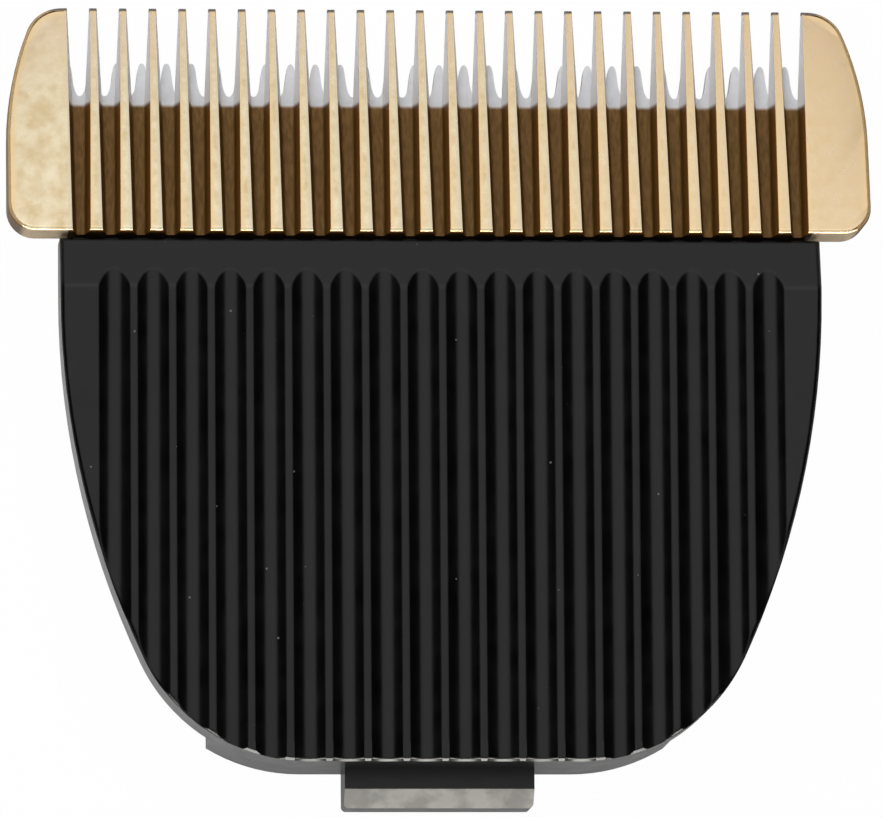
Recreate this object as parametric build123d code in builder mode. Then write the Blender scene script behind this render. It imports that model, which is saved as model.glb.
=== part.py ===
from build123d import *
import os
from math import asin, atan2, cos, degrees, hypot, radians, sin, tan

# Clip-on hair clipper blade set, lying on its back with the fluted face up.
# X runs along the row of teeth, Y points from the rear hook to the tooth tips, Z is up.
# The origin is under the middle of the whole set, on the surface that it rests on. Millimetres.

# Base moulding
base_height = 7.7            # resting rim to fluted face
base_width = 40.66
face_length = 28.0           # rear edge to front edge of the face
face_chamfer = 0.16          # around the sides and the rear of the face
top_face_cos = 0.8           # faces that lean further than this are not part of the top
plate_thickness = 1.8
wall_thickness = 1.6
side_wall_height = 3.4
side_straight = 3.0          # straight run of each side behind the front edge
side_radius = 46.0           # long sweep of each side
rear_corner_radius = 9.6
skirt_width = 24.6           # deeper middle part of the rear wall
front_band_length = 2.6      # sloped band at the front, where the flutes run out
front_band_drop = 0.77
front_band_round = 1.2       # crease between the face and the band
front_edge_round = 0.12
ledge_reach = 0.5            # front ledge under the blade
ledge_gap = 0.06             # ledge below the blade
ledge_clearance = 0.45       # ledge above the slider

# Flutes in the face
flute_count = 18
flute_pitch = 2.055
flute_width = 1.65
flute_depth = 0.28

# Rear mounting hook
hook_width = 10.15
hook_reach = 2.05
hook_thickness = 3.2
hook_rise = 0.25             # hook underside above the resting rim
hook_chamfer = 0.95
hook_corner_radius = 0.25

# Fixed blade
blade_width = 46.2
blade_length = 12.6          # tooth tips to rear wall, seen from above
blade_gap = 0.3              # base front edge to blade rear wall
land_drop = 0.14             # blade rear edge below the face
land_angle = 15.6            # slope of the tooth lands
seat_angle = 3.9             # slope of the underside, where the cutter runs
tip_thickness = 0.35
tip_nose_radius = 0.25
blade_edge_radius = 0.22      # upper edge of the blocks and of the rear wall
block_shoulder = 7.5         # length of each block's curved side behind the tips
block_side_radius = 17.4
block_rear_radius = 1.5

# Ground grooves between the teeth
tooth_count = 24
tooth_pitch = 1.6
groove_tip_width = 1.31      # at the lands, by the tips
groove_rear_width = 0.97     # at the lands, by the rear wall
groove_depth = 1.4           # square to the lands
groove_draft = 10.5
groove_floor_radius = 0.12
relief_length = 1.8          # hollow-ground channel across the underside
relief_start = 6.2
relief_depth = 0.15

# Sliding cutter
slide_gap = 0.03             # cutter below the fixed blade
cutter_tooth_count = 31
cutter_pitch = 4 / 3
cutter_setback = 2.98        # cutter tips behind the fixed tips
cutter_tooth_length = 1.71   # crown to the root where the valley starts
cutter_tooth_crown = 0.1     # reach of the round tooth crown from the tooth centre
cutter_valley_width = 0.3
cutter_valley_round = 0.11   # depth of the round valley
cutter_depth = 6.05          # tips to rear edge
cutter_thickness = 1.5
cutter_edge_thickness = 0.6
cutter_bevel_length = 2.8
cutter_rest_shift = 0.2      # where the cutter stopped, to the right of the middle
cutter_travel = 1.3

# Blade seats and screws
seat_clearance = 0.25        # cutter rear edge to the seats
seat_inset = 0.5             # seat outer face inside the base side
seat_width = 4.8
seat_web = 1.7               # between each screw head and the blade
screw_behind_seat_front = 2.3
screw_diameter = 1.6
screw_hole_clearance = 0.15
screw_thread_clearance = 0.04
screw_bite = 0.85
screw_bottom_gap = 0.1
screw_head_diameter = 3.2
screw_head_height = 1.1
screw_head_round = 0.3
screw_recess_length = 1.9
screw_recess_width = 0.45
screw_recess_depth = 0.5
head_clearance = 0.15

# Slider that carries the cutter
carrier_width = 26.0
carrier_length = 4.4
carrier_thickness = 1.5
carrier_front_setback = 2.25 # behind the cutter tips
peg_diameter = 1.9
peg_clearance = 0.05
peg_spacing = 16.0
peg_height = 1.2
fork_slot_width = 4.6
fork_slot_depth = 6.0
fork_prong = 1.8
fork_height = 4.0
fork_top_drop = 0.2          # fork top below the blade underside
arm_length = 5.6             # plate between the cutter seat and the fork
arm_end_radius = 0.6

# Springs, their spigots and the snap ears
wire_diameter = 0.7
coil_radius = 1.9
coil_turns = 3
coil_pitch = 0.85
coil_inner_x = 9.3
coil_behind_front = 10.91    # coil axis behind the base front edge
coil_roof_gap = 0.5
spring_gap = 0.1
spring_arm_lap = 1.4         # arm end under the slider, ahead of its rear edge
spring_exit_angle = 48.0
spigot_clearance = 0.25
spigot_tip_round = 0.3
ear_x = 14.3                 # inner face of each ear
ear_thickness = 1.5
ear_length = 12.0
ear_behind_front = 3.51
snap_ridge_radius = 0.45
snap_ridge_length = 3.5
snap_ridge_height = 2.0

# Places worked out from the sizes above
half_base = base_width / 2
half_blade = blade_width / 2
total_length = hook_reach + face_length + blade_gap + blade_length
hook_end_y = -total_length / 2
face_rear_y = hook_end_y + hook_reach
face_front_y = face_rear_y + face_length
crease_y = face_front_y - front_band_length
blade_rear_y = face_front_y + blade_gap
tip_y = blade_rear_y + blade_length
face_z = base_height
roof_z = face_z - plate_thickness
side_rim_z = face_z - side_wall_height
land_slope = tan(radians(land_angle))
seat_slope = tan(radians(seat_angle))
seat_sin = sin(radians(seat_angle))
seat_cos = cos(radians(seat_angle))
land_tip_z = face_z - land_drop - blade_length * land_slope
seat_tip_z = land_tip_z - tip_thickness


def land_z(y):
    """Height of the tooth lands at a distance along Y."""
    return land_tip_z + (tip_y - y) * land_slope


def seat_z(y):
    """Height of the fixed blade's underside at a distance along Y."""
    return seat_tip_z + (tip_y - y) * seat_slope


# The lands and the underside are tilted planes with their origins at the tooth tips.
land_plane = Plane(
    origin=(0, tip_y, land_tip_z),
    x_dir=(1, 0, 0),
    z_dir=(0, sin(radians(land_angle)), cos(radians(land_angle))),
)
seat_plane = Plane(
    origin=(0, tip_y, seat_tip_z),
    x_dir=(1, 0, 0),
    z_dir=(0, seat_sin, seat_cos),
)
seat_section = Plane(origin=seat_plane.origin, x_dir=seat_plane.y_dir, z_dir=(1, 0, 0))

# Distances on the underside plane, behind the tips
cutter_rear = cutter_setback + cutter_depth
seat_front = cutter_rear + seat_clearance
screw_setback = seat_front + screw_behind_seat_front
screw_hole_top = screw_bite + screw_bottom_gap
carrier_front = cutter_setback + carrier_front_setback
carrier_rear = carrier_front + carrier_length
fork_front = carrier_rear + arm_length
fork_rear = fork_front + fork_prong + fork_slot_depth
cutter_bottom = slide_gap + cutter_thickness
carrier_bottom = cutter_bottom + carrier_thickness


# The face outline: straight sides, a long sweep and a round rear corner on each side.
side_drop = face_length - side_straight
side_turn = degrees(asin((side_drop - rear_corner_radius) / (side_radius - rear_corner_radius)))
with BuildSketch() as face_outline:
    with BuildLine():
        Line((0, face_front_y), (half_base, face_front_y))
        side = Line((half_base, face_front_y), (half_base, face_front_y - side_straight))
        sweep_arc = JernArc(side @ 1, (0, -1), side_radius, -side_turn)
        corner_arc = JernArc(sweep_arc @ 1, sweep_arc % 1, rear_corner_radius, side_turn - 90)
        Line(corner_arc @ 1, (0, face_rear_y))
        mirror(about=Plane.YZ)
    make_face()

with BuildSketch() as cavity_outline:
    offset(face_outline.sketch, amount=-wall_thickness, kind=Kind.INTERSECTION)

# One flute of the face: straight out through the sloped band, and flared at the rear wall
# so that the chamfer of the face goes on along its floor
flute_length = crease_y - face_rear_y
flute_radius = (flute_width**2 / 4 + flute_depth**2) / (2 * flute_depth)
flute_axis_z = face_z - flute_depth + flute_radius
with BuildPart() as flute:
    Cylinder(flute_radius, 2 * flute_length, rotation=(90, 0, 0))
    with BuildSketch(Plane.YZ):
        with BuildLine():
            flare_corner = (face_chamfer - flute_length, flute_radius)
            flare_end = (-flute_length, flute_radius + face_chamfer)
            flare = FilletPolyline((0, flute_radius), flare_corner, flare_end, radius=face_chamfer)
            Polyline(
                flare_end,
                (-face_length, flute_radius + face_chamfer),
                (-face_length, 0),
                (0, 0),
                flare @ 0,
            )
        make_face()
    revolve(axis=Axis.Y)

# Rear hook: a thick tab with a long bevel on its upper edge and rounded corners
hook_root_y = face_rear_y + wall_thickness / 2
hook_top_z = hook_rise + hook_thickness
with BuildPart() as hook:
    with BuildSketch(Plane.YZ):
        with BuildLine():
            Polyline(
                (hook_root_y, hook_rise),
                (hook_end_y, hook_rise),
                (hook_end_y, hook_top_z - hook_chamfer),
                (hook_end_y + hook_chamfer, hook_top_z),
                (hook_root_y, hook_top_z),
                close=True,
            )
        make_face()
    extrude(amount=hook_width / 2, both=True)
    with BuildSketch():
        with Locations((0, hook_end_y)):
            RectangleRounded(
                hook_width,
                2 * (hook_root_y - hook_end_y),
                hook_corner_radius,
                align=(Align.CENTER, Align.MIN),
            )
    extrude(amount=hook_top_z, mode=Mode.INTERSECT)

# Base moulding
seat_front_y = tip_y - seat_front * seat_cos
seat_outer_x = half_base - seat_inset
seat_inner_x = seat_outer_x - seat_width
screw_x = seat_outer_x - seat_width / 2
screw_places = [(-screw_x, -screw_setback), (screw_x, -screw_setback)]
ledge_front_y = blade_rear_y + ledge_reach
ledge_z = seat_z(face_front_y) - cutter_bottom + ledge_clearance
front_wall_y = face_front_y - wall_thickness
coil_y = face_front_y - coil_behind_front
coil_z = roof_z - coil_roof_gap - coil_radius - wire_diameter / 2
spigot_radius = coil_radius - wire_diameter / 2 - spigot_clearance
spigot_end_x = coil_inner_x - wire_diameter
ear_front_y = face_front_y - ear_behind_front
ear_middle_x = ear_x + ear_thickness / 2
with BuildPart() as blade_base:
    add(face_outline.sketch.moved(Location((0, 0, side_rim_z))))
    extrude(amount=side_wall_height)
    # Sloped band in front of the flutes, then the chamfer around the face with its soft edge
    with BuildSketch(Plane.YZ):
        with BuildLine():
            Polyline(
                (crease_y, face_z),
                (face_front_y, face_z - front_band_drop),
                (face_front_y, face_z + front_band_drop),
                (crease_y, face_z + front_band_drop),
                close=True,
            )
        make_face()
    extrude(amount=half_base, both=True, mode=Mode.SUBTRACT)
    cross_edges = blade_base.edges().filter_by(Axis.X)
    fillet(cross_edges.group_by(Axis.Z)[-1].sort_by(Axis.Y)[-1], front_band_round)
    for edge_break in (chamfer, fillet):
        top_faces = blade_base.faces().filter_by(lambda face: face.normal_at().Z > top_face_cos)
        rim = top_faces.edges()
        rear_rim = rim.filter_by(Axis.X).sort_by(Axis.Y)[:1]
        edge_break(rim.filter_by(Axis.X, reverse=True) + rear_rim, face_chamfer)
    front_rim = blade_base.edges().filter_by(Axis.X).group_by(Axis.Y)[-1].sort_by(Axis.Z)[-1]
    fillet(front_rim, front_edge_round)

    # Hollow back
    add(cavity_outline.sketch.moved(Location((0, 0, side_rim_z))))
    extrude(amount=side_wall_height - plate_thickness, mode=Mode.SUBTRACT)

    # Deeper middle part of the rear wall
    with BuildSketch():
        add(face_outline.sketch)
        add(cavity_outline.sketch, mode=Mode.SUBTRACT)
        with Locations((0, face_rear_y)):
            Rectangle(skirt_width, 2 * rear_corner_radius, mode=Mode.INTERSECT)
    extrude(amount=roof_z)

    add(hook.part)

    # Flutes
    with Locations((0, crease_y, flute_axis_z)):
        with GridLocations(flute_pitch, 1, flute_count, 1):
            add(flute.part, mode=Mode.SUBTRACT)

    # Blade seats: bosses from the plate to the resting plane, with a step under the blade
    for side_x in (seat_inner_x, -seat_outer_x):
        with BuildSketch(Plane.YZ.offset(side_x)):
            with BuildLine():
                Polyline(
                    (seat_front_y, seat_z(seat_front_y)),
                    (face_front_y, seat_z(face_front_y)),
                    (face_front_y, roof_z),
                    (crease_y, roof_z),
                    (crease_y, 0),
                    (seat_front_y - seat_z(seat_front_y) * seat_slope, 0),
                    close=True,
                )
            make_face()
        extrude(amount=seat_width)

    # Front ledge between the seats, over the slider and just clear of the blade
    with BuildSketch(Plane.YZ):
        with BuildLine():
            Polyline(
                (ledge_front_y, seat_z(ledge_front_y) - ledge_gap),
                (face_front_y, seat_z(face_front_y) - ledge_gap),
                (face_front_y, roof_z),
                (front_wall_y, roof_z),
                (front_wall_y, ledge_z),
                (ledge_front_y, ledge_z),
                close=True,
            )
        make_face()
    extrude(amount=seat_inner_x, both=True)

    # Screw holes as high as the screws reach, and the wells for the screw heads
    with BuildSketch(seat_plane.offset(screw_hole_top)):
        with Locations(*screw_places):
            Circle(screw_diameter / 2 + screw_hole_clearance)
    extrude(amount=-base_height, mode=Mode.SUBTRACT)
    with BuildSketch(seat_plane.offset(-seat_web)):
        with Locations(*screw_places):
            Circle(screw_head_diameter / 2 + head_clearance)
    extrude(amount=-base_height, mode=Mode.SUBTRACT)

    # Snap ears with their ridges, and the spring spigots on their inner faces
    with BuildSketch():
        with Locations((-ear_middle_x, ear_front_y), (ear_middle_x, ear_front_y)):
            Rectangle(ear_thickness, ear_length, align=(Align.CENTER, Align.MAX))
    extrude(amount=roof_z)
    for side_sign in (-1, 1):
        with Locations(
            (
                side_sign * (ear_x + ear_thickness),
                ear_front_y - ear_length / 2,
                snap_ridge_height,
            )
        ):
            Cylinder(snap_ridge_radius, snap_ridge_length, rotation=(90, 0, 0))
        with Locations((side_sign * (ear_x + spigot_end_x) / 2, coil_y, coil_z)):
            Cylinder(spigot_radius, ear_x - spigot_end_x, rotation=(0, 90, 0))
    spigot_rims = blade_base.edges().filter_by(GeomType.CIRCLE).filter_by(
        lambda edge: abs(edge.radius - spigot_radius) < spigot_tip_round / 10
        and abs(abs(edge.center().X) - spigot_end_x) < spigot_tip_round / 10
    )
    chamfer(spigot_rims, spigot_tip_round)

blade_base.part.label = "blade_base"

# One ground groove: narrower to the rear and to its floor, open at both ends.
groove_length = blade_length / cos(radians(land_angle))
groove_rise = tip_thickness
groove_spread = groove_rise * tan(radians(groove_draft))
groove_run = groove_depth


def groove_half_width(distance):
    """Half the width of a groove above the lands, at a distance behind the tips."""
    taper = (groove_tip_width - groove_rear_width) / groove_length
    return (groove_tip_width - taper * distance) / 2 + groove_spread


with BuildPart() as groove:
    with BuildSketch(land_plane.offset(groove_rise)):
        front_half = groove_half_width(-groove_run)
        rear_half = groove_half_width(groove_length + groove_run)
        with BuildLine():
            Polyline(
                (-front_half, groove_run),
                (front_half, groove_run),
                (rear_half, -groove_length - groove_run),
                (-rear_half, -groove_length - groove_run),
                close=True,
            )
        make_face()
    extrude(amount=-groove_depth - groove_rise, taper=groove_draft)
    groove_floor = groove.faces().sort_by(Axis(land_plane.origin, land_plane.z_dir))[0]
    fillet(groove_floor.edges().sort_by(SortBy.LENGTH)[-2:], groove_floor_radius)

# Fixed blade: a wedge with rounded end blocks, ground into teeth
block_turn = degrees(asin(block_shoulder / block_side_radius))
shoulder_y = tip_y - block_shoulder
cutter_half = cutter_tooth_count * cutter_pitch / 2
relief_width = 2 * (cutter_half + cutter_travel + cutter_rest_shift)
with BuildPart() as fixed_blade:
    with BuildSketch(Plane.YZ):
        with BuildLine():
            Polyline(
                (tip_y, seat_tip_z),
                (tip_y, land_tip_z),
                (blade_rear_y, land_z(blade_rear_y)),
                (blade_rear_y, seat_z(blade_rear_y)),
                close=True,
            )
        wedge = make_face()
        front_points = wedge.vertices().group_by(Axis.X)[-1]
        fillet(front_points.sort_by(Axis.Y)[-1], tip_nose_radius)
    extrude(amount=half_blade, both=True)
    with BuildSketch() as plan:
        with BuildLine():
            Line((0, blade_rear_y), (half_blade, blade_rear_y))
            Line((half_blade, blade_rear_y), (half_blade, shoulder_y))
            block_arc = JernArc((half_blade, shoulder_y), (0, 1), block_side_radius, block_turn)
            Line(block_arc @ 1, (0, tip_y))
            mirror(about=Plane.YZ)
        make_face()
        rear_points = plan.vertices().group_by(Axis.Y)[0]
        fillet(rear_points.filter_by(lambda v: abs(v.X) > tooth_pitch), block_rear_radius)
    extrude(amount=base_height, mode=Mode.INTERSECT)
    land_face = fixed_blade.faces().filter_by(land_plane).sort_by(SortBy.AREA)[-1]
    fillet(land_face.edges().sort_by(Axis.Y)[:-1], blade_edge_radius)
    with GridLocations(tooth_pitch, 1, tooth_count + 1, 1):
        add(groove.part, mode=Mode.SUBTRACT)
    with BuildSketch(seat_plane):
        with Locations((0, -relief_start)):
            Rectangle(relief_width, relief_length, align=(Align.CENTER, Align.MAX))
    extrude(amount=relief_depth, mode=Mode.SUBTRACT)
    with BuildSketch(seat_plane):
        with Locations(*screw_places):
            Circle(screw_diameter / 2 + screw_thread_clearance)
    extrude(amount=screw_hole_top, mode=Mode.SUBTRACT)
fixed_blade.part.label = "fixed_blade"

# Cutter: a ceramic plate with a row of round-crowned teeth, thinned towards its edge
cutter_root = cutter_setback + cutter_tooth_length
tooth_half = cutter_pitch / 2 - cutter_valley_width / 2
peg_places = [
    (cutter_rest_shift - peg_spacing / 2, -(carrier_front + carrier_length / 2)),
    (cutter_rest_shift + peg_spacing / 2, -(carrier_front + carrier_length / 2)),
]
with BuildPart() as cutter_blade:
    with BuildSketch(seat_plane.offset(-slide_gap)):
        with BuildLine():
            left_x = cutter_rest_shift - cutter_half
            for number in range(cutter_tooth_count):
                crown_x = left_x + (number + 0.5) * cutter_pitch
                crown = (crown_x, -cutter_setback)
                root_left = (crown_x - tooth_half, -cutter_root)
                root_right = (crown_x + tooth_half, -cutter_root)
                Bezier(root_left, (crown_x - cutter_tooth_crown, -cutter_setback), crown)
                Bezier(crown, (crown_x + cutter_tooth_crown, -cutter_setback), root_right)
                if number < cutter_tooth_count - 1:
                    valley = (crown_x + cutter_pitch / 2, -cutter_root - cutter_valley_round)
                    next_root = (crown_x + cutter_pitch - tooth_half, -cutter_root)
                    ThreePointArc(root_right, valley, next_root)
            right_x = cutter_rest_shift + cutter_half
            Polyline(
                root_right,
                (right_x, -cutter_root),
                (right_x, -cutter_rear),
                (left_x, -cutter_rear),
                (left_x, -cutter_root),
                (left_x + cutter_valley_width / 2, -cutter_root),
            )
        make_face()
        with Locations(*peg_places):
            Circle(peg_diameter / 2 + peg_clearance, mode=Mode.SUBTRACT)
    extrude(amount=-cutter_thickness)
    with BuildSketch(seat_section):
        with BuildLine():
            Polyline(
                (-cutter_setback, -slide_gap - cutter_edge_thickness),
                (-cutter_setback - cutter_bevel_length, -cutter_bottom),
                (-cutter_setback, -cutter_bottom),
                close=True,
            )
        make_face()
    extrude(amount=blade_width, both=True, mode=Mode.SUBTRACT)
cutter_blade.part.label = "cutter_blade"

# Slider: a plate under the cutter with two pegs, and an arm that ends in the drive fork
fork_width = fork_slot_width + 2 * fork_prong
with BuildPart() as cutter_carrier:
    with BuildSketch(seat_plane.offset(-cutter_bottom)):
        with Locations((cutter_rest_shift, -carrier_front)):
            Rectangle(carrier_width, carrier_length, align=(Align.CENTER, Align.MAX))
        with Locations((cutter_rest_shift, -carrier_rear)):
            Rectangle(fork_width, arm_length + fork_prong, align=(Align.CENTER, Align.MAX))
    extrude(amount=-carrier_thickness)
    with BuildSketch(seat_plane.offset(-fork_top_drop)):
        with Locations((cutter_rest_shift, -fork_rear)):
            Rectangle(
                fork_width,
                fork_rear - fork_front,
                align=(Align.CENTER, Align.MIN),
            )
    extrude(amount=-fork_height)
    with BuildSketch(seat_plane.offset(-fork_top_drop)):
        with Locations((cutter_rest_shift, -fork_rear)):
            Rectangle(
                fork_slot_width,
                fork_slot_depth,
                align=(Align.CENTER, Align.MIN),
            )
    extrude(amount=-fork_height, mode=Mode.SUBTRACT)
    with BuildSketch(seat_plane.offset(-cutter_bottom)):
        with Locations(*peg_places):
            Circle(peg_diameter / 2)
    extrude(amount=peg_height)
    slider_corners = cutter_carrier.edges().filter_by(Axis((0, 0, 0), seat_plane.z_dir))
    fillet(slider_corners.group_by(Axis.X)[0], arm_end_radius)
    fillet(slider_corners.group_by(Axis.X)[-1], arm_end_radius)
cutter_carrier.part.label = "cutter_carrier"

# Springs: the front arm runs from the bottom of the coil to the underside of the slider,
# and the rear arm rises to the roof of the base.
wire_radius = wire_diameter / 2
arm_end_y = tip_y - (carrier_rear - spring_arm_lap) * seat_cos
arm_end_z = seat_z(arm_end_y) - carrier_bottom / seat_cos - spring_gap - wire_radius
arm_dy = arm_end_y - coil_y
arm_dz = arm_end_z - coil_z
arm_angle = atan2(arm_dz, arm_dy) + asin(coil_radius / hypot(arm_dy, arm_dz))
wire_arm_length = (arm_dy**2 + arm_dz**2 - coil_radius**2) ** 0.5
coil_plane = Plane(
    origin=(coil_inner_x, coil_y, coil_z),
    x_dir=(0, sin(arm_angle), -cos(arm_angle)),
    z_dir=(1, 0, 0),
)
exit_turn = spring_exit_angle / 360
exit_angle = radians(spring_exit_angle) - arm_angle
exit_z = coil_z - coil_radius * cos(exit_angle)
exit_length = (roof_z - spring_gap - wire_radius - exit_z) / sin(exit_angle)
with BuildLine() as coil:
    Helix(coil_pitch, coil_pitch * (coil_turns + exit_turn), coil_radius, lefthand=True)
coil_path = coil.line.moved(coil_plane.location)
with BuildPart() as spring_right:
    with BuildSketch(Plane(origin=coil_path @ 0, z_dir=coil_path % 0)):
        Circle(wire_radius)
    sweep(path=coil_path, is_frenet=True)
    wire_ends = spring_right.faces().filter_by(GeomType.PLANE).sort_by(Axis.X)
    extrude(wire_ends[0], amount=wire_arm_length)
    extrude(wire_ends[-1], amount=exit_length)
spring_right.part.label = "spring_right"

with BuildPart() as spring_left:
    mirror(spring_right.part, about=Plane.YZ)
spring_left.part.label = "spring_left"

# Screws that hold the fixed blade on its seats from behind
with BuildPart() as blade_screws:
    with BuildSketch(seat_plane.offset(-seat_web)):
        with Locations(*screw_places):
            Circle(screw_head_diameter / 2)
    extrude(amount=-screw_head_height)
    seat_axis = Axis(seat_plane.origin, seat_plane.z_dir)
    head_rims = blade_screws.edges().filter_by(GeomType.CIRCLE).group_by(seat_axis)[0]
    fillet(head_rims, screw_head_round)
    with BuildSketch(seat_plane.offset(-seat_web)):
        with Locations(*screw_places):
            Circle(screw_diameter / 2)
    extrude(amount=seat_web + screw_bite)
    with BuildSketch(seat_plane.offset(-seat_web - screw_head_height)):
        with Locations(*screw_places):
            Rectangle(screw_recess_length, screw_recess_width)
            Rectangle(screw_recess_width, screw_recess_length)
    extrude(amount=screw_recess_depth, mode=Mode.SUBTRACT)
blade_screws.part.label = "blade_screws"

os.makedirs("parts", exist_ok=True)
export_step(blade_base.part, "parts/blade_base.step")
export_step(fixed_blade.part, "parts/fixed_blade.step")
export_step(cutter_blade.part, "parts/cutter_blade.step")
export_step(cutter_carrier.part, "parts/cutter_carrier.step")
export_step(spring_left.part, "parts/spring_left.step")
export_step(spring_right.part, "parts/spring_right.step")
export_step(blade_screws.part, "parts/blade_screws.step")
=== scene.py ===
import math

import bmesh
import bpy
from mathutils import Matrix, Vector
from mathutils.geometry import interpolate_bezier


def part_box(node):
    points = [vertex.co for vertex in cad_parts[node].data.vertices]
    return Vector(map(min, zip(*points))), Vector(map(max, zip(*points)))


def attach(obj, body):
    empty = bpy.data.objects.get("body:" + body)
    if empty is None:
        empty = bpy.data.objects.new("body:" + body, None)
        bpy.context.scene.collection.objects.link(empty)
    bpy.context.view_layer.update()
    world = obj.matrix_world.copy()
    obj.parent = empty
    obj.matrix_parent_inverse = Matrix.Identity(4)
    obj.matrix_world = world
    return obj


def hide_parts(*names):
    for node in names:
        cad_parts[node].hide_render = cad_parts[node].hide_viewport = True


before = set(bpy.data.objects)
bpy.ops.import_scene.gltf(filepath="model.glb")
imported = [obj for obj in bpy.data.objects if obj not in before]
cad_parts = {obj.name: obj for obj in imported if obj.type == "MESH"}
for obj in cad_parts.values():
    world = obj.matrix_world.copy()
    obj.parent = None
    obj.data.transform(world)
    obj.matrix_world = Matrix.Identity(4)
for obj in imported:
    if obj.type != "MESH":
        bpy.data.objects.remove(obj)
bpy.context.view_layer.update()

# Photographer's table: a white sheet that the blade set lies on, and the camera above it.
# The camera stands a little to the rear and to the left of the set, and leans in to look at it.
scene = bpy.context.scene
scene.view_settings.view_transform = "Standard"

face_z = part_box("blade_base")[1].z
aim = Vector((-0.0001208, -0.0006254, face_z))
distance = 0.5641
lean_rear = math.radians(7.417)
lean_left = math.radians(4.469)
roll = math.radians(-0.4066)
pixels_per_metre = 18808.6
image_width = 882

back = Vector((
    -math.sin(lean_left) * math.cos(lean_rear),
    -math.sin(lean_rear),
    math.cos(lean_left) * math.cos(lean_rear),
))
level = Vector((0, 1, 0)).cross(back).normalized()
upright = back.cross(level)
right = level * math.cos(roll) + upright * math.sin(roll)
up = upright * math.cos(roll) - level * math.sin(roll)
turn = Matrix((right, up, back)).transposed().to_4x4()

camera_data = bpy.data.cameras.new("camera")
camera_data.sensor_width = 36
camera_data.lens = pixels_per_metre * distance * camera_data.sensor_width / image_width
camera_data.clip_start = 0.05
camera_data.clip_end = 20
camera = bpy.data.objects.new("camera", camera_data)
camera.matrix_world = Matrix.Translation(aim + back * distance) @ turn
scene.collection.objects.link(camera)
scene.camera = camera

sheet_half = 2.5
sheet_drop = 0.00003
sheet_mesh = bpy.data.meshes.new("table_sheet")
sheet_mesh.from_pydata(
    [(-sheet_half, -sheet_half, 0), (sheet_half, -sheet_half, 0),
     (sheet_half, sheet_half, 0), (-sheet_half, sheet_half, 0)],
    [],
    [(0, 1, 2, 3)],
)
floor = bpy.data.objects.new("table_sheet", sheet_mesh)
floor.location.z = -sheet_drop
scene.collection.objects.link(floor)


def reckon(tree, operation, *values):
    """A Math node on sockets or plain numbers; gives its result."""
    node = tree.nodes.new("ShaderNodeMath")
    node.operation = operation
    for slot, value in enumerate(values):
        if isinstance(value, (int, float)):
            node.inputs[slot].default_value = value
        else:
            tree.links.new(value, node.inputs[slot])
    return node.outputs[0]


# The sheet is plain white to the camera, part white in reflections and matt paper to other light.
white_to_camera = 0.985
white_in_reflections = 0.2
paper = bpy.data.materials.new("white_paper")
paper.use_nodes = True
tree = paper.node_tree
tree.nodes.clear()
matt = tree.nodes.new("ShaderNodeBsdfDiffuse")
matt.inputs["Color"].default_value = (0.8, 0.8, 0.8, 1)
white = tree.nodes.new("ShaderNodeEmission")
white.inputs["Strength"].default_value = 1.0
seen = tree.nodes.new("ShaderNodeLightPath")
reflected = reckon(tree, "MAXIMUM", seen.outputs["Is Glossy Ray"], seen.outputs["Is Transmission Ray"])
share = reckon(
    tree, "MAXIMUM",
    reckon(tree, "MULTIPLY", seen.outputs["Is Camera Ray"], white_to_camera),
    reckon(tree, "MULTIPLY", reflected, white_in_reflections),
)
mix = tree.nodes.new("ShaderNodeMixShader")
out = tree.nodes.new("ShaderNodeOutputMaterial")
tree.links.new(share, mix.inputs[0])
tree.links.new(matt.outputs[0], mix.inputs[1])
tree.links.new(white.outputs[0], mix.inputs[2])
tree.links.new(mix.outputs[0], out.inputs[0])
sheet_mesh.materials.append(paper)

# Studio light: a row of soft boxes overhead from the rear to the tips' side, dimmer panels at the
# four corners, a low card that the hook's side mirrors, and a fill that only matt surfaces take.
# The room is otherwise dark.
world = bpy.data.worlds.new("studio")
world.use_nodes = True
tree = world.node_tree
tree.nodes.clear()
room = tree.nodes.new("ShaderNodeBackground")
room.inputs["Color"].default_value = (1, 1, 1, 1)
room.inputs["Strength"].default_value = 0.006
backdrop = tree.nodes.new("ShaderNodeBackground")
backdrop.inputs["Strength"].default_value = 1.0
seen = tree.nodes.new("ShaderNodeLightPath")
mix = tree.nodes.new("ShaderNodeMixShader")
out = tree.nodes.new("ShaderNodeOutputWorld")
tree.links.new(seen.outputs["Is Camera Ray"], mix.inputs[0])
tree.links.new(room.outputs[0], mix.inputs[1])
tree.links.new(backdrop.outputs[0], mix.inputs[2])
tree.links.new(mix.outputs[0], out.inputs[0])
scene.world = world

white_light = (1, 1, 1)
warm_light = (1, 0.97, 0.92)
row_x = -0.006
row_width = 0.768
row_z = 0.8
lower_row_z = 0.79
panel_x, panel_y, panel_z = 0.9, 0.95, 0.8


def soft_box(name, place, target, width, height, radiance, colour=white_light):
    """A rectangular light with the same brightness all over, turned to a target."""
    lamp = bpy.data.lights.new(name, "AREA")
    lamp.shape = "RECTANGLE"
    lamp.size = width
    lamp.size_y = height
    lamp.energy = radiance * math.pi * width * height
    lamp.color = colour
    holder = bpy.data.objects.new(name, lamp)
    holder.location = place
    holder.rotation_euler = (Vector(target) - Vector(place)).to_track_quat("-Z", "Y").to_euler()
    scene.collection.objects.link(holder)
    return holder


def row_box(name, y, z, length, radiance, width=row_width):
    """A soft box in the row overhead, facing straight down."""
    soft_box(name, (row_x, y, z), (row_x, y, 0), width, length, radiance)


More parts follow.
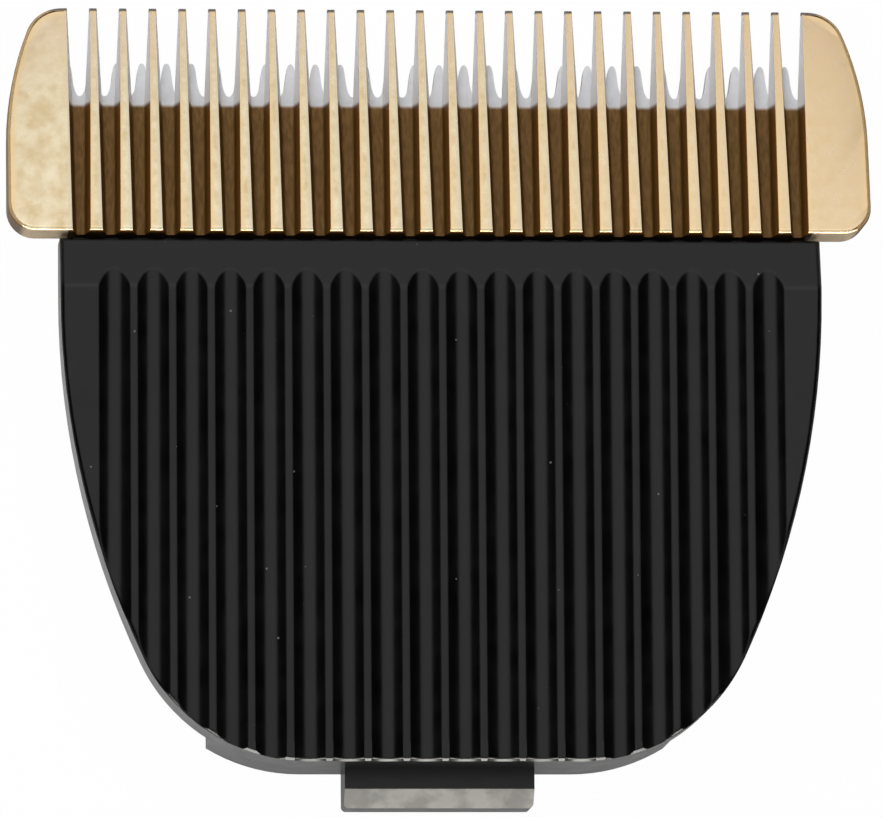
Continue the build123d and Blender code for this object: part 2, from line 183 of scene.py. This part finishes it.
row_box("long_box", y=0.44, z=row_z, length=1.02, radiance=1.0)
row_box("hot_centre", y=0.31, z=lower_row_z, length=0.2, radiance=0.6, width=0.66)
row_box("front_panel", y=0.73, z=lower_row_z, length=0.44, radiance=0.12)
rear_card = soft_box(
    "rear_card", place=(0, -0.8, 0.13), target=(0, 0, 0.13),
    width=1.9, height=0.22, radiance=20.0, colour=warm_light,
)
rear_card.visible_diffuse = False
row_box("rear_panel", y=-0.835, z=lower_row_z, length=1.53, radiance=0.85)
for number, (side_x, side_y) in enumerate(((-1, -1), (1, -1), (-1, 1), (1, 1))):
    panel = soft_box(
        f"corner_panel_{number}", place=(side_x * panel_x, side_y * panel_y, panel_z), target=(0, 0, 0),
        width=0.9, height=0.8, radiance=0.45,
    )
    panel.visible_diffuse = False
fill = soft_box(
    "fill", place=(-0.35, 0.55, 0.75), target=(0, 0, 0), width=1.2, height=1.2, radiance=1.86,
)
fill.visible_glossy = False

# Base: one black moulding with the fluted face, thin walls and the rear hook.
# It is satin from the mould, a little uneven, with dust specks that stay on black plastic.
# The bevel of the hook is rubbed grey where it slides into the clipper's head.
mottle = bpy.data.node_groups.new("surface_mottle", "ShaderNodeTree")
for label, start in (("Cloud Scale", 500.0), ("Grain Scale", 9000.0)):
    socket = mottle.interface.new_socket(label, in_out="INPUT", socket_type="NodeSocketFloat")
    socket.default_value = start
for label in ("Cloud", "Grain"):
    mottle.interface.new_socket(label, in_out="OUTPUT", socket_type="NodeSocketFloat")
group_in = mottle.nodes.new("NodeGroupInput")
group_out = mottle.nodes.new("NodeGroupOutput")
place = mottle.nodes.new("ShaderNodeTexCoord")
for label, detail in (("Cloud", 4), ("Grain", 2)):
    noise = mottle.nodes.new("ShaderNodeTexNoise")
    noise.inputs["Detail"].default_value = detail
    mottle.links.new(place.outputs["Object"], noise.inputs["Vector"])
    mottle.links.new(group_in.outputs[f"{label} Scale"], noise.inputs["Scale"])
    mottle.links.new(noise.outputs["Fac"], group_out.inputs[label])

cloud_low, cloud_high = 0.3, 0.7


def mottled_material(name, colours, roughness, metallic, cloud_scale, grain_scale, grain_height):
    """A finish whose colour and roughness follow a cloud, with fine grain as relief."""
    material = bpy.data.materials.new(name)
    material.use_nodes = True
    nodes, links = material.node_tree.nodes, material.node_tree.links
    shader = nodes["Principled BSDF"]
    shader.inputs["Metallic"].default_value = metallic
    surface = nodes.new("ShaderNodeGroup")
    surface.node_tree = mottle
    surface.inputs["Cloud Scale"].default_value = cloud_scale
    surface.inputs["Grain Scale"].default_value = grain_scale
    tone = nodes.new("ShaderNodeValToRGB")
    tone.name = "tone"
    low_end, high_end = tone.color_ramp.elements
    low_end.position = cloud_low
    low_end.color = (*colours[0], 1)
    high_end.position = cloud_high
    high_end.color = (*colours[1], 1)
    gloss = nodes.new("ShaderNodeMapRange")
    gloss.name = "gloss"
    gloss.inputs["From Min"].default_value = cloud_low
    gloss.inputs["From Max"].default_value = cloud_high
    gloss.inputs["To Min"].default_value = roughness[0]
    gloss.inputs["To Max"].default_value = roughness[1]
    relief = nodes.new("ShaderNodeBump")
    relief.name = "relief"
    relief.inputs["Strength"].default_value = 1.0
    relief.inputs["Distance"].default_value = grain_height
    links.new(surface.outputs["Cloud"], tone.inputs["Fac"])
    links.new(surface.outputs["Cloud"], gloss.inputs["Value"])
    links.new(surface.outputs["Grain"], relief.inputs["Height"])
    links.new(tone.outputs["Color"], shader.inputs["Base Color"])
    links.new(gloss.outputs["Result"], shader.inputs["Roughness"])
    links.new(relief.outputs["Normal"], shader.inputs["Normal"])
    return material


def dress(name, material):
    """Gives one piece of the frame its finish."""
    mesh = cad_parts[name].data
    mesh.materials.clear()
    mesh.materials.append(material)


def fade(tree, value, limits, line=0.0):
    """A mask from 0 at the first limit to 1 at the second, both measured from a line."""
    start, end = line + limits[0], line + limits[1]
    node = tree.nodes.new("ShaderNodeMapRange")
    node.interpolation_type = "SMOOTHSTEP"
    node.inputs["From Min"].default_value = min(start, end)
    node.inputs["From Max"].default_value = max(start, end)
    node.inputs["To Min"].default_value = 0.0 if start < end else 1.0
    node.inputs["To Max"].default_value = 1.0 if start < end else 0.0
    tree.links.new(value, node.inputs["Value"])
    return node.outputs["Result"]


# A Mix node repeats its sockets' names for each type, so the sockets are taken by number.
vector_below, vector_above, vector_mixed = 4, 5, 1
colour_below, colour_above, colour_mixed = 6, 7, 2


def tint(tree, mask, below, above):
    """A colour between two others, sockets or plain colours, by a mask."""
    node = tree.nodes.new("ShaderNodeMix")
    node.data_type = "RGBA"
    tree.links.new(mask, node.inputs["Factor"])
    for slot, colour in ((colour_below, below), (colour_above, above)):
        if isinstance(colour, tuple):
            node.inputs[slot].default_value = (*colour, 1)
        else:
            tree.links.new(colour, node.inputs[slot])
    return node.outputs[colour_mixed]


def place_axes(tree):
    """The object's own coordinates, as three sockets."""
    place = tree.nodes.new("ShaderNodeTexCoord")
    place.name = "place"
    split = tree.nodes.new("ShaderNodeSeparateXYZ")
    tree.links.new(place.outputs["Object"], split.inputs[0])
    return split.outputs


black_plastic = mottled_material(
    "black_plastic",
    colours=((0.0012, 0.0012, 0.0015), (0.003, 0.003, 0.0034)),
    roughness=(0.2, 0.26),
    metallic=0.0,
    cloud_scale=700.0,
    grain_scale=9000.0,
    grain_height=0.000002,
)
tree = black_plastic.node_tree
shader = tree.nodes["Principled BSDF"]
shader.inputs["IOR"].default_value = 1.38
at_y = place_axes(tree)["Y"]
place = tree.nodes["place"].outputs["Object"]
facing = tree.nodes.new("ShaderNodeNewGeometry").outputs["Normal"]

# The mould leaves soft edges on the fluted face, as far back as the rear rim.
mould_edge_radius = 0.0002
rear_rim_y = -0.0186
rim_limits = (0.0, 0.0003)
softened = tree.nodes.new("ShaderNodeBevel")
softened.samples = 8
softened.inputs["Radius"].default_value = mould_edge_radius
edges = tree.nodes.new("ShaderNodeMix")
edges.data_type = "VECTOR"
tree.links.new(fade(tree, at_y, rim_limits, rear_rim_y), edges.inputs["Factor"])
tree.links.new(facing, edges.inputs[vector_below])
tree.links.new(softened.outputs["Normal"], edges.inputs[vector_above])
tree.links.new(edges.outputs[vector_mixed], tree.nodes["relief"].inputs["Normal"])

# The rubbed bevel is what slopes behind the hook's upper edge.
hook_bevel_y = -0.0205
bevel_limits = (0.00003, -0.00003)
steep_limits = (0.45, 0.6)
level_limits = (0.95, 0.85)
scuff_limits = (0.36, 0.64)
worn_dark, worn_light = (0.16, 0.15, 0.125), (0.44, 0.425, 0.37)
worn_roughness = 0.2
tilt = tree.nodes.new("ShaderNodeSeparateXYZ")
tree.links.new(facing, tilt.inputs[0])
sloping = reckon(
    tree, "MULTIPLY",
    fade(tree, tilt.outputs["Z"], steep_limits), fade(tree, tilt.outputs["Z"], level_limits),
)
rubbed = reckon(tree, "MULTIPLY", fade(tree, at_y, bevel_limits, hook_bevel_y), sloping)
scuff = tree.nodes.new("ShaderNodeTexNoise")
scuff.inputs["Scale"].default_value = 650.0
scuff.inputs["Detail"].default_value = 5
tree.links.new(place, scuff.inputs["Vector"])
worn = tint(tree, fade(tree, scuff.outputs["Fac"], scuff_limits), worn_dark, worn_light)

# Dust: a few cells of a pattern hold one speck each.
dusty_cells = (0.93, 1.0)
speck_size = 0.045
dust_grey = (0.12, 0.12, 0.115)
dust = tree.nodes.new("ShaderNodeTexVoronoi")
dust.voronoi_dimensions = "2D"
dust.inputs["Scale"].default_value = 750.0
speck = tree.nodes.new("ShaderNodeTexWhiteNoise")
tree.links.new(place, dust.inputs["Vector"])
tree.links.new(dust.outputs["Position"], speck.inputs["Vector"])
speck_reach = reckon(tree, "MULTIPLY", fade(tree, speck.outputs["Value"], dusty_cells), speck_size)
dusty = reckon(tree, "LESS_THAN", dust.outputs["Distance"], speck_reach)

colour = tint(tree, rubbed, tree.nodes["tone"].outputs["Color"], worn)
colour = tint(tree, dusty, colour, dust_grey)
tree.links.new(colour, shader.inputs["Base Color"])
satin = tree.nodes["gloss"].outputs["Result"]
tree.links.new(reckon(tree, "MULTIPLY_ADD", rubbed, worn_roughness, satin), shader.inputs["Roughness"])
dress("blade_base", black_plastic)

# Fixed blade: a hardened steel comb with a pale gold coating, ground again on its lands.
# The grooves keep a dull brown skin, with painted shade low on their walls; the outer walls carry painted
# shade and painted light, the tooth sides a painted grey reflection, and the tips painted shade.
# Two screws from below hold it on the seats of the base.
gold = mottled_material(
    "gold_coated_steel",
    colours=((0.64, 0.50, 0.29), (0.86, 0.75, 0.53)),
    roughness=(0.22, 0.28),
    metallic=1.0,
    cloud_scale=1300.0,
    grain_scale=4000.0,
    grain_height=0.00000005,
)
tree = gold.node_tree
shader = tree.nodes["Principled BSDF"]
shader.inputs["Specular IOR Level"].default_value = 0.1

blade_low, blade_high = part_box("fixed_blade")
tip_y = blade_high.y
rear_y = blade_low.y
half_blade = blade_high.x
land_angle = math.radians(15.6)
land_tip_z = 0.004042
tooth_pitch = 0.0016
pitches_each_side = 12
tooth_row = pitches_each_side * tooth_pitch
groove_depth = 0.0014
slot_root_y = 0.01623
shoulder_back = 0.0075
shoulder_y = tip_y - shoulder_back
block_side_radius = 0.0174
block_front_radius = 0.002
side_centre_x = half_blade - block_side_radius
corner_y = tip_y - block_front_radius
corner_x = side_centre_x + math.sqrt(
    (block_side_radius - block_front_radius) ** 2 - (corner_y - shoulder_y) ** 2
)

# Height is measured square to the plane of the lands, and is negative in the grooves.
at_x, at_y, at_z = place_axes(tree)
across = reckon(tree, "ABSOLUTE", at_x)
along_lands = reckon(tree, "MULTIPLY", reckon(tree, "SUBTRACT", at_y, tip_y), math.sin(land_angle))
above_tip = reckon(tree, "MULTIPLY", reckon(tree, "SUBTRACT", at_z, land_tip_z), math.cos(land_angle))
height = reckon(tree, "ADD", along_lands, above_tip)

# What lies below the lands takes the skin colour, with painted shade and painted light in it, apart from
# their own round rear edge.
rear_edge_limits = (0.0004, 0.00025)
rear_edge_drop = 0.00008
skin_limits = (-0.00001, -0.00004)
row_end_limits = (0.00072, 0.00068)
slot_limits = (-0.0002, 0.0001)
nose_limits = (-0.00022, -0.00014)
groove_floor_limits = (-0.8 * groove_depth, -0.92 * groove_depth)
rear_wall_limits = (0.0003, 0.00005)
rear_edge = fade(tree, at_y, rear_edge_limits, rear_y)
sunk = fade(tree, reckon(tree, "MULTIPLY_ADD", rear_edge, rear_edge_drop, height), skin_limits)
in_row = fade(tree, across, row_end_limits, tooth_row)
in_slots = fade(tree, at_y, slot_limits, slot_root_y)
nose = fade(tree, at_y, nose_limits, tip_y)
groove_floor = fade(tree, height, groove_floor_limits)
rear_wall = fade(tree, at_y, rear_wall_limits, rear_y)


def past(tree, value, line):
    """How far a value lies past a line, or 0 short of it."""
    return reckon(tree, "MAXIMUM", reckon(tree, "SUBTRACT", value, line), 0.0)


def squared(tree, value):
    """The square of a value."""
    return reckon(tree, "POWER", value, 2.0)


# Painted light on the coating: painted sheen makes it warmer along the left of each land and along the
# blocks' outer edges. A painted reflection makes it paler along the right of each land and warmer to the
# right. The colour is also warmer towards the tips.
pale_reflection_gold, pale_reflection_share = (0.66, 0.59, 0.45), 0.7
tip_gold, tip_share = (0.80, 0.62, 0.44), 0.5
right_reflection_gold, right_reflection_share = (0.80, 0.57, 0.33), 0.62
edge_sheen_gold, edge_sheen_share = (0.86, 0.62, 0.33), 0.75
land_left_limits = (0.5, 0.34)
land_right_limits = (0.5, 0.64)
block_edge_limits = (0.0006, 0.00022)
tipward_limits = (-0.006, 0.0)
right_reflection_limits = (-0.006, 0.024)
from_row_end = reckon(tree, "ADD", at_x, tooth_row)
phase = reckon(tree, "FRACT", reckon(tree, "DIVIDE", from_row_end, tooth_pitch))
land_left = reckon(tree, "MULTIPLY", fade(tree, phase, land_left_limits), in_row)
land_right = reckon(tree, "MULTIPLY", fade(tree, phase, land_right_limits), in_row)
inward = reckon(tree, "DIVIDE", squared(tree, past(tree, at_y, shoulder_y)), 2 * block_side_radius)
to_side = reckon(tree, "SUBTRACT", reckon(tree, "SUBTRACT", half_blade, inward), across)
corner_reach = reckon(tree, "SQRT", reckon(
    tree, "ADD", squared(tree, past(tree, across, corner_x)), squared(tree, past(tree, at_y, corner_y)),
))
to_corner = reckon(
    tree, "ADD",
    reckon(tree, "SUBTRACT", block_front_radius, corner_reach), reckon(tree, "LESS_THAN", at_y, corner_y),
)
block_edge = fade(tree, reckon(tree, "MINIMUM", to_side, to_corner), block_edge_limits)
# Painted reflection: paler along the right of each land.
pale_reflection = reckon(tree, "MULTIPLY", land_right, pale_reflection_share)
tipward = reckon(tree, "MULTIPLY", fade(tree, at_y, tipward_limits, tip_y), tip_share)
# Painted reflection: the lands turn warmer towards the right.
right_reflection = reckon(tree, "MULTIPLY", fade(tree, at_x, right_reflection_limits), right_reflection_share)
# Painted sheen along the lands' left edges and the blocks' rounded outer edges.
edge_sheen = reckon(tree, "MULTIPLY", reckon(tree, "MAXIMUM", land_left, block_edge), edge_sheen_share)
colour = tree.nodes["tone"].outputs["Color"]
colour = tint(tree, pale_reflection, colour, pale_reflection_gold)
colour = tint(tree, tipward, colour, tip_gold)
colour = tint(tree, right_reflection, colour, right_reflection_gold)
colour = tint(tree, edge_sheen, colour, edge_sheen_gold)

# Painted shade makes the groove walls darkest low down, and painted light makes them warm at their tops.
# The floors keep the dull brown skin, and the grinding wheel left streaks along them.
wall_low, wall_high, wall_top = (0.084, 0.038, 0.006), (0.196, 0.078, 0.012), (0.46, 0.25, 0.075)
wall_limits, wall_top_limits = (-0.0012, -0.0002), (-0.00025, -0.00003)
floor_dark, floor_light = (0.135, 0.071, 0.019), (0.215, 0.115, 0.036)
side_shaded_low, side_lit_top = (0.2, 0.125, 0.055), (0.55, 0.36, 0.16)
side_top_limits = (-0.00018, -0.00003)
painted_grey_reflection = (0.80, 0.775, 0.765)
rear_wall_painted_light = (0.9, 0.7, 0.45)
tip_painted_shade = (0.17, 0.15, 0.13)
skin_metallic = 0.12
skin_roughness = 0.2
streak_limits = (0.3, 0.7)
stretch = tree.nodes.new("ShaderNodeVectorMath")
stretch.operation = "MULTIPLY"
stretch.inputs[1].default_value = (1.0, 0.012, 1.0)
streaks = tree.nodes.new("ShaderNodeTexNoise")
streaks.inputs["Scale"].default_value = 6000.0
streaks.inputs["Detail"].default_value = 3
tree.links.new(tree.nodes["place"].outputs["Object"], stretch.inputs[0])
tree.links.new(stretch.outputs[0], streaks.inputs["Vector"])
floor_brown = tint(tree, fade(tree, streaks.outputs["Fac"], streak_limits), floor_dark, floor_light)
shaded_wall_brown = tint(tree, fade(tree, height, wall_limits), wall_low, wall_high)
shaded_wall_brown = tint(tree, fade(tree, height, wall_top_limits), shaded_wall_brown, wall_top)
groove_brown = tint(tree, groove_floor, shaded_wall_brown, floor_brown)
# Between the teeth the walls take a painted grey reflection in place of the brown.
between_teeth = tint(tree, in_slots, groove_brown, painted_grey_reflection)
# Painted shade and painted light on the outer walls: the sides are darker low down and lighter at the
# top, and the rear wall is painted much lighter than the sides.
side_brown = tint(tree, fade(tree, height, side_top_limits), side_shaded_low, side_lit_top)
outer_walls_painted_light = tint(tree, rear_wall, side_brown, rear_wall_painted_light)
skin_and_painted_light = tint(tree, in_row, outer_walls_painted_light, between_teeth)
colour = tint(tree, sunk, colour, skin_and_painted_light)
# Painted shade: the noses of the tips are darkened.
colour = tint(tree, nose, colour, tip_painted_shade)
tree.links.new(colour, shader.inputs["Base Color"])
dull = reckon(tree, "MAXIMUM", sunk, nose)
metal = reckon(tree, "MULTIPLY_ADD", dull, skin_metallic - 1.0, 1.0)
tree.links.new(metal, shader.inputs["Metallic"])
ground = tree.nodes["gloss"].outputs["Result"]
tree.links.new(reckon(tree, "MULTIPLY_ADD", dull, skin_roughness, ground), shader.inputs["Roughness"])

# The blocks' front corners are ground round, with the same soft upper edge as their sides.
# They are cut from a merged copy of the comb.
edge_radius = 0.00022
arc_steps = 20
edge_steps = 6
over_cut = math.radians(3)
cut_reach = 0.003
cut_low, cut_high = 0.0, 0.012
merge_distance = 1e-7
crease_angle = math.radians(28)
arc_start = math.atan2(corner_y - shoulder_y, corner_x - side_centre_x) - over_cut
arc_end = math.pi / 2 + over_cut
tool_points, tool_faces = [], []
for side in (1, -1):
    columns = []
    for step in range(arc_steps + 1):
        angle = arc_start + (arc_end - arc_start) * step / arc_steps
        column = [(block_front_radius, cut_low)]
        for rise in range(edge_steps + 1):
            lean = math.pi / 2 * rise / edge_steps
            reach = block_front_radius - edge_radius * (1 - math.cos(lean))
            y = corner_y + reach * math.sin(angle)
            land = land_tip_z + (tip_y - y) * math.tan(land_angle)
            column.append((reach, land - edge_radius * (1 - math.sin(lean))))
        column += [(block_front_radius - edge_radius, cut_high)]
        column += [(block_front_radius + cut_reach, cut_high), (block_front_radius + cut_reach, cut_low)]
        first = len(tool_points)
        for reach, z in column:
            x = corner_x + reach * math.cos(angle)
            tool_points.append((side * x, corner_y + reach * math.sin(angle), z))
        columns.append(range(first, len(tool_points)))
    for near, far in zip(columns, columns[1:]):
        for row in range(len(near)):
            after = (row + 1) % len(near)
            tool_faces.append((near[row], near[after], far[after], far[row]))
    tool_faces += [tuple(columns[0]), tuple(columns[-1])]
tool_mesh = bpy.data.meshes.new("corner_tool")
tool_mesh.from_pydata(tool_points, [], tool_faces)
work = bmesh.new()
work.from_mesh(tool_mesh)
bmesh.ops.recalc_face_normals(work, faces=work.faces)
work.to_mesh(tool_mesh)
work.free()
tool = bpy.data.objects.new("corner_tool", tool_mesh)
scene.collection.objects.link(tool)

work = bmesh.new()
work.from_mesh(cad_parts["fixed_blade"].data)
bmesh.ops.remove_doubles(work, verts=work.verts, dist=merge_distance)
work.verts.index_update()
merged = bpy.data.meshes.new("comb_blade")
merged.from_pydata(
    [vertex.co.copy() for vertex in work.verts],
    [],
    [[vertex.index for vertex in face.verts] for face in work.faces],
)
work.free()
comb = bpy.data.objects.new("comb_blade", merged)
scene.collection.objects.link(comb)
cut = comb.modifiers.new("round_corners", "BOOLEAN")
cut.operation = "DIFFERENCE"
cut.solver = "EXACT"
cut.object = tool
cut_comb = comb.evaluated_get(bpy.context.evaluated_depsgraph_get())
comb_mesh = bpy.data.meshes.new_from_object(cut_comb)
comb.modifiers.clear()
comb.data = comb_mesh
bpy.data.objects.remove(tool)
comb_mesh.shade_smooth()
comb_mesh.set_sharp_from_angle(angle=crease_angle)
comb_mesh.materials.clear()
comb_mesh.materials.append(gold)
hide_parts("fixed_blade")
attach(comb, "base")

# Cutter: a white ceramic plate, ground flat, with round-crowned teeth on a closer pitch.
# The springs press it up against the underside of the comb, and it slides there from side to side.
ceramic = mottled_material(
    "ceramic",
    colours=((0.58, 0.59, 0.61), (0.66, 0.67, 0.69)),
    roughness=(0.4, 0.5),
    metallic=0.0,
    cloud_scale=1500.0,
    grain_scale=14000.0,
    grain_height=0.000001,
)

# Its outline is drawn flat, tooth after tooth, given its thickness and laid under the comb.
seat_angle = math.radians(3.9)
tip_thickness = 0.00035
seat_tip_z = land_tip_z - tip_thickness
slide_gap = 0.00003
cutter_teeth = 31
cutter_pitch = 0.004 / 3
cutter_shift = 0.0002
cutter_setback = 0.00298
tooth_length = 0.00174
crown_reach = 0.00036
waist_reach = 0.00018
waist_share = 0.72
valley_width = 0.0003
valley_depth = 0.00008
valley_steps = 4
cutter_depth = 0.00605
cutter_thickness = 0.0015
cutter_edge = 0.0006
cutter_bevel = 0.0028
peg_hole_radius = 0.001
peg_hole_spacing = 0.016
peg_hole_back = 0.00743
curve_steps = 9
hole_steps = 32

root = -cutter_setback - tooth_length
waist = -cutter_setback - waist_share * tooth_length
half_tooth = (cutter_pitch - valley_width) / 2
half_cutter = cutter_teeth * cutter_pitch / 2
outline = [(-half_cutter, root)]
for number in range(cutter_teeth):
    crown_x = (number + 0.5) * cutter_pitch - half_cutter
    left = interpolate_bezier(
        (crown_x - half_tooth, root), (crown_x - waist_reach, waist),
        (crown_x - crown_reach, -cutter_setback), (crown_x, -cutter_setback), curve_steps,
    )
    outline += [(point.x, point.y) for point in left]
    outline += [(2 * crown_x - point.x, point.y) for point in reversed(left[:-1])]
    if number < cutter_teeth - 1:
        for step in range(1, valley_steps):
            part = step / valley_steps
            x = crown_x + half_tooth + part * valley_width
            outline.append((x, root - valley_depth * math.sin(math.pi * part)))
outline += [(half_cutter, root)]
outline += [(half_cutter, -cutter_setback - cutter_depth), (-half_cutter, -cutter_setback - cutter_depth)]
holes = [
    [
        (
            side * peg_hole_spacing / 2 + peg_hole_radius * math.cos(2 * math.pi * step / hole_steps),
            -peg_hole_back + peg_hole_radius * math.sin(2 * math.pi * step / hole_steps),
        )
        for step in range(hole_steps)
    ]
    for side in (-1, 1)
]
work = bmesh.new()
for loop in (outline, *holes):
    points = [work.verts.new((x, y, 0)) for x, y in loop]
    for near, far in zip(points, points[1:] + points[:1]):
        work.edges.new((near, far))
bmesh.ops.triangle_fill(work, use_beauty=True, edges=work.edges[:], normal=(0, 0, 1))
bmesh.ops.bisect_plane(
    work, geom=work.verts[:] + work.edges[:] + work.faces[:],
    plane_co=(0, -cutter_setback - cutter_bevel, 0), plane_no=(0, 1, 0),
)
grown = bmesh.ops.extrude_face_region(work, geom=work.faces[:])
bevel_slope = (cutter_thickness - cutter_edge) / cutter_bevel
for element in grown["geom"]:
    if isinstance(element, bmesh.types.BMVert):
        behind_crown = min(-cutter_setback - element.co.y, cutter_bevel)
        element.co.z -= cutter_edge + behind_crown * bevel_slope
bmesh.ops.recalc_face_normals(work, faces=work.faces)
lay = Matrix.Translation((cutter_shift, tip_y, seat_tip_z)) @ Matrix.Rotation(-seat_angle, 4, "X")
work.transform(lay @ Matrix.Translation((0, 0, -slide_gap)))
cutter_mesh = bpy.data.meshes.new("cutter_plate")
work.to_mesh(cutter_mesh)
work.free()
cutter_mesh.shade_smooth()
cutter_mesh.set_sharp_from_angle(angle=crease_angle)
cutter_mesh.materials.append(ceramic)
cutter = bpy.data.objects.new("cutter_plate", cutter_mesh)
scene.collection.objects.link(cutter)
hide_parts("cutter_blade")
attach(cutter, "cutter")

# Slider: a pale moulded plate under the cutter, with the fork that the drive pin moves.
# Two pegs on its upper side sit in the cutter's holes, so that both slide as one.
slider_plastic = mottled_material(
    "slider_plastic",
    colours=((0.6, 0.59, 0.55), (0.68, 0.67, 0.63)),
    roughness=(0.4, 0.5),
    metallic=0.0,
    cloud_scale=600.0,
    grain_scale=10000.0,
    grain_height=0.000002,
)
dress("cutter_carrier", slider_plastic)

# Springs: two pieces of drawn steel wire, coiled on the spigots of the base.
# They press the slider and the cutter up against the comb.
spring_steel = mottled_material(
    "spring_steel",
    colours=((0.45, 0.45, 0.46), (0.58, 0.58, 0.59)),
    roughness=(0.25, 0.4),
    metallic=1.0,
    cloud_scale=2500.0,
    grain_scale=20000.0,
    grain_height=0.000001,
)
for name in ("spring_left", "spring_right"):
    dress(name, spring_steel)

# Screws: two small steel screws, zinc-plated, with cross recesses.
# They are driven up through the base into the fixed blade.
screw_steel = mottled_material(
    "screw_steel",
    colours=((0.5, 0.5, 0.5), (0.62, 0.62, 0.63)),
    roughness=(0.25, 0.38),
    metallic=1.0,
    cloud_scale=2200.0,
    grain_scale=15000.0,
    grain_height=0.000001,
)
dress("blade_screws", screw_steel)
